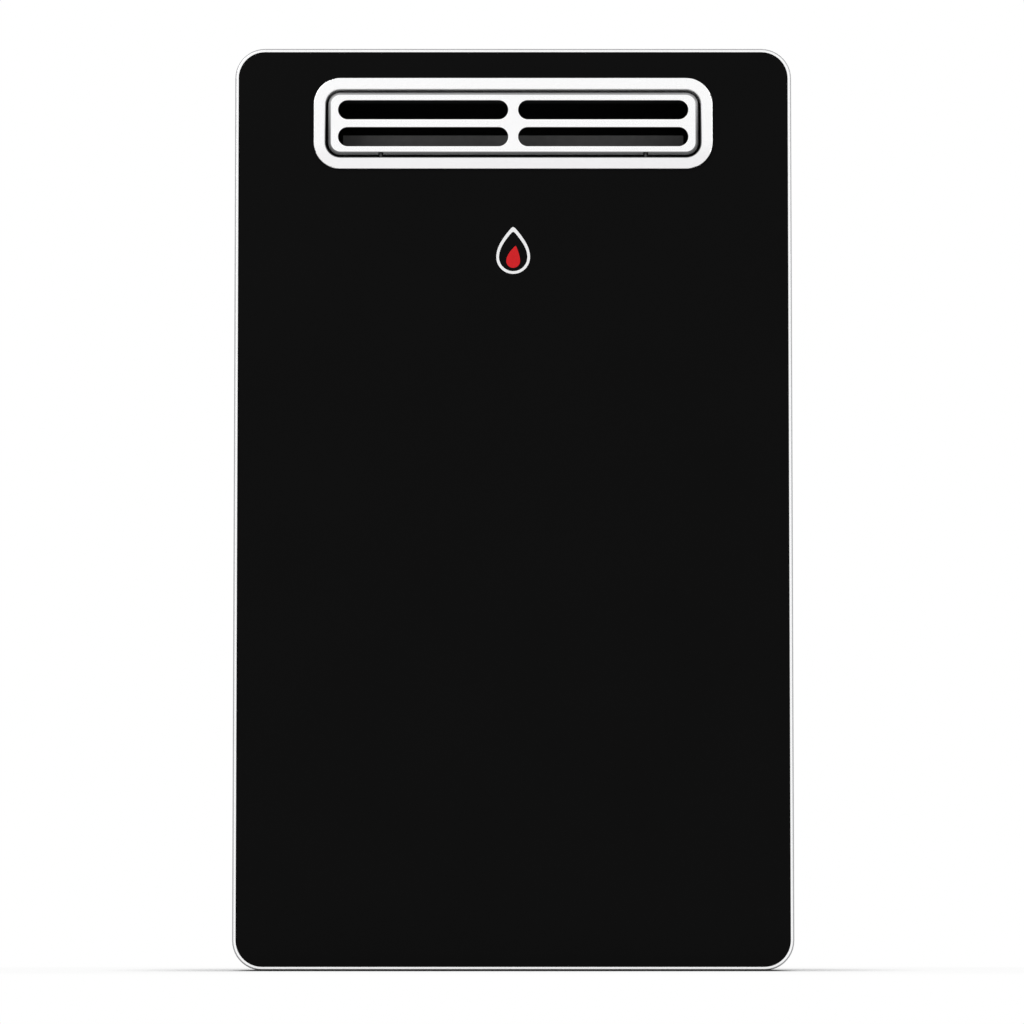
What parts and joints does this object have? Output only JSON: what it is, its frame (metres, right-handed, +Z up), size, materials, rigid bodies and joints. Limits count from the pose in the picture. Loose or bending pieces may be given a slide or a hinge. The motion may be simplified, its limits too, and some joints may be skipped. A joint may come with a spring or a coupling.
{
  "type": "outdoor tankless water heater",
  "caption": "Flat black wall-hung gas water heater with a slotted flue vent, removable cover, fan, burner, copper heat exchanger and connections recessed underneath.",
  "frame": {"origin": "middle of the case's bottom, halfway between the vent bezel's face and the wall", "axes": "+Z up, -Y towards the front, +Y towards the wall"},
  "size_m": [0.3584, 0.172, 0.587],
  "materials": {
    "case_coat": "satin powder coat, silver grey",
    "front_black": "satin black coating",
    "trim_aluminium": "bright satin",
    "bright_stainless": "bright satin",
    "zinc_steel": "zinc coated",
    "flue_stainless": "mill finish",
    "copper": "bare copper",
    "brass": "machined",
    "cast_aluminium": "die cast",
    "black_plastic": "moulded",
    "white_plastic": "moulded",
    "black_rubber": "moulded",
    "gasket_fibre": "pressed fibre",
    "white_ceramic": "glazed",
    "circuit_board": "solder mask",
    "lead_red": "silicone",
    "motor_paint": "satin"
  },
  "bodies": {
    "heater_chassis": {"cover_screws": "bright_stainless", "chassis": "case_coat", "upper_rail": "zinc_steel", "lower_rail": "zinc_steel", "rail_rivets": "cast_aluminium", "bottom_plate": "zinc_steel", "flue_hood": "flue_stainless", "vent_grille": "bright_stainless", "grille_rivets": "bright_stainless", "rain_baffle": "flue_stainless", "flue_gasket": "gasket_fibre", "fin_block": "copper", "chamber": "copper", "hx_brackets": "zinc_steel", "overheat_switch": "black_plastic", "cold_pipe": "copper", "hot_pipe": "copper", "burner_box": "zinc_steel", "burner_bars": "flue_stainless", "gas_manifold": "cast_aluminium", "gas_jets": "brass", "electrodes": "white_ceramic", "electrode_tips": "flue_stainless", "ignition_leads": "lead_red", "spark_module": "black_plastic", "fan_scroll": "zinc_steel", "fan_motor": "motor_paint", "gas_fitting": "brass", "gas_valve": "cast_aluminium", "gas_coils": "black_plastic", "gas_pipe": "zinc_steel", "cold_fitting": "brass", "hot_fitting": "brass", "fitting_nuts": "brass", "water_plugs": "black_plastic", "flange_screws": "bright_stainless", "flow_sensor": "black_plastic", "flow_carriers": "white_plastic", "water_sensors": "brass", "frost_heaters": "white_ceramic", "control_tray": "white_plastic", "control_board": "circuit_board", "board_parts": "black_plastic", "wiring_loom": "black_rubber", "power_gland": "black_plastic", "controller_grommet": "black_rubber"},
    "front_cover": {"cover_shell": "case_coat", "face_panel": "front_black", "trim_frame": "trim_aluminium", "vent_bezel": "bright_stainless", "bezel_spacers": "black_rubber", "vent_seal": "black_rubber"},
    "fan_wheel": {"fan_impeller": "zinc_steel", "fan_shaft": "bright_stainless"},
    "flow_turbine": {"flow_rotor": "white_plastic"},
    "main_valve": {"main_plunger": "bright_stainless"},
    "modulating_valve": {"modulating_plunger": "bright_stainless"}
  },
  "joints": [
    {"name": "front_cover_slide", "type": "slide", "parent": "heater_chassis", "child": "front_cover", "axis": [0, -1, 0], "range_m": [0, 0.2]},
    {"name": "fan_spin", "type": "hinge", "parent": "heater_chassis", "child": "fan_wheel", "pos_m": [-0.015, 0, 0.108], "axis": [0, 1, 0], "continuous": true},
    {"name": "flow_turbine_spin", "type": "hinge", "parent": "heater_chassis", "child": "flow_turbine", "pos_m": [0.127, -0.04, 0.0867], "axis": [0, 0, 1], "continuous": true},
    {"name": "main_valve_stroke", "type": "slide", "parent": "heater_chassis", "child": "main_valve", "axis": [0, -1, 0], "range_m": [0, 0.003], "stiffness_N_per_m": 400, "springref_m": -0.004},
    {"name": "modulating_valve_stroke", "type": "slide", "parent": "heater_chassis", "child": "modulating_valve", "axis": [0, -1, 0], "range_m": [0, 0.003], "stiffness_N_per_m": 400, "springref_m": -0.004}
  ]
}
